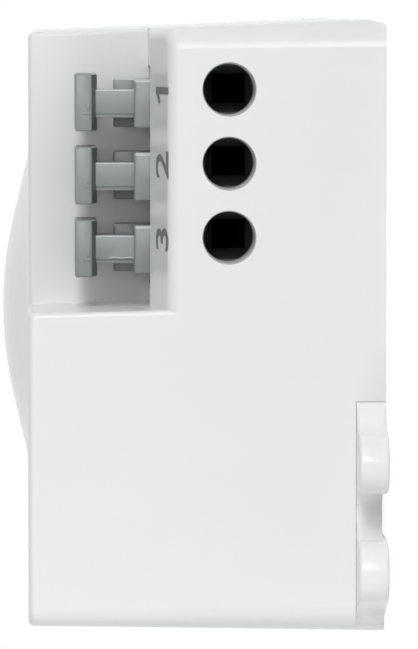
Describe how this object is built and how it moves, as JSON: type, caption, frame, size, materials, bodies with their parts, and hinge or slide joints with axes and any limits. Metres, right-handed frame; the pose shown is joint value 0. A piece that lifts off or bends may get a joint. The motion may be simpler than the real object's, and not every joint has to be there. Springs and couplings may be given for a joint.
{
  "type": "microwave motion sensor",
  "caption": "Boxed microwave motion sensor with a low dome, push-in wire terminal with release buttons, setting knobs and notched mounting lugs.",
  "frame": {"origin": "centre of the mounting face, which is the back of the case and of its mounting plate", "axes": "+Z out of the front, where the dome looks; +Y along the length, away from the terminal end; X across, the wire holes on the +X side"},
  "size_m": [0.0416, 0.0886, 0.0261],
  "materials": {
    "case_white": "satin",
    "plate_white": "satin",
    "button_grey": "satin",
    "terminal_black": "matte",
    "spring_steel": "bright",
    "contact_copper": "plain",
    "tin": "plain",
    "board_green": "matte",
    "radar_board": "matte",
    "antenna_copper": "plain",
    "screw_steel": "plain",
    "knob_grey": "satin",
    "trimmer_blue": "matte",
    "clear_window": "clear",
    "dark_component": "matte",
    "relay_black": "satin",
    "film_yellow": "satin",
    "capacitor_sleeve": "satin",
    "varistor_blue": "satin",
    "resistor_tan": "satin"
  },
  "bodies": {
    "case": {"antenna_patch": "antenna_copper", "base_plate": "plate_white", "board_screws": "screw_steel", "bridge_rectifier": "dark_component", "chip_resistors": "dark_component", "choke": "dark_component", "clamp_spring_1": "spring_steel", "clamp_spring_2": "spring_steel", "clamp_spring_3": "spring_steel", "component_leads": "tin", "contact_bars": "contact_copper", "film_capacitor": "film_yellow", "fuse": "dark_component", "housing": "case_white", "light_pipe": "clear_window", "light_sensor": "dark_component", "light_trimmer": "trimmer_blue", "link_header": "dark_component", "link_pins": "tin", "main_board": "board_green", "microcontroller": "dark_component", "microcontroller_leads": "tin", "radar_board": "radar_board", "radar_pins": "tin", "range_trimmer": "trimmer_blue", "rectifier_legs": "tin", "relay": "relay_black", "relay_pins": "tin", "resistors": "resistor_tan", "shield_can": "tin", "smoothing_capacitors": "capacitor_sleeve", "terminal_body": "terminal_black", "terminal_cover": "terminal_black", "time_trimmer": "trimmer_blue", "trimmer_legs": "tin", "upper_board": "board_green", "varistor": "varistor_blue"},
    "button_1": {"release_button_1": "button_grey"},
    "button_2": {"release_button_2": "button_grey"},
    "button_3": {"release_button_3": "button_grey"},
    "range_dial": {"range_knob": "knob_grey"},
    "time_dial": {"time_knob": "knob_grey"},
    "light_dial": {"light_knob": "knob_grey"}
  },
  "joints": [
    {"name": "press_1", "type": "slide", "parent": "case", "child": "button_1", "axis": [0, 0, -1], "range_m": [0, 0.0016], "stiffness_N_per_m": 2000, "springref_m": -0.0005, "deforming": ["clamp_spring_1"]},
    {"name": "press_2", "type": "slide", "parent": "case", "child": "button_2", "axis": [0, 0, -1], "range_m": [0, 0.0016], "stiffness_N_per_m": 2000, "springref_m": -0.0005, "deforming": ["clamp_spring_2"]},
    {"name": "press_3", "type": "slide", "parent": "case", "child": "button_3", "axis": [0, 0, -1], "range_m": [0, 0.0016], "stiffness_N_per_m": 2000, "springref_m": -0.0005, "deforming": ["clamp_spring_3"]},
    {"name": "turn_range", "type": "hinge", "parent": "case", "child": "range_dial", "pos_m": [-0.01, 0.024, 0.024], "axis": [0, 0, 1], "range_deg": [-117.5, 117.5]},
    {"name": "turn_time", "type": "hinge", "parent": "case", "child": "time_dial", "pos_m": [0, 0.024, 0.024], "axis": [0, 0, 1], "range_deg": [-117.5, 117.5]},
    {"name": "turn_light", "type": "hinge", "parent": "case", "child": "light_dial", "pos_m": [0.01, 0.024, 0.024], "axis": [0, 0, 1], "range_deg": [-117.5, 117.5]}
  ]
}
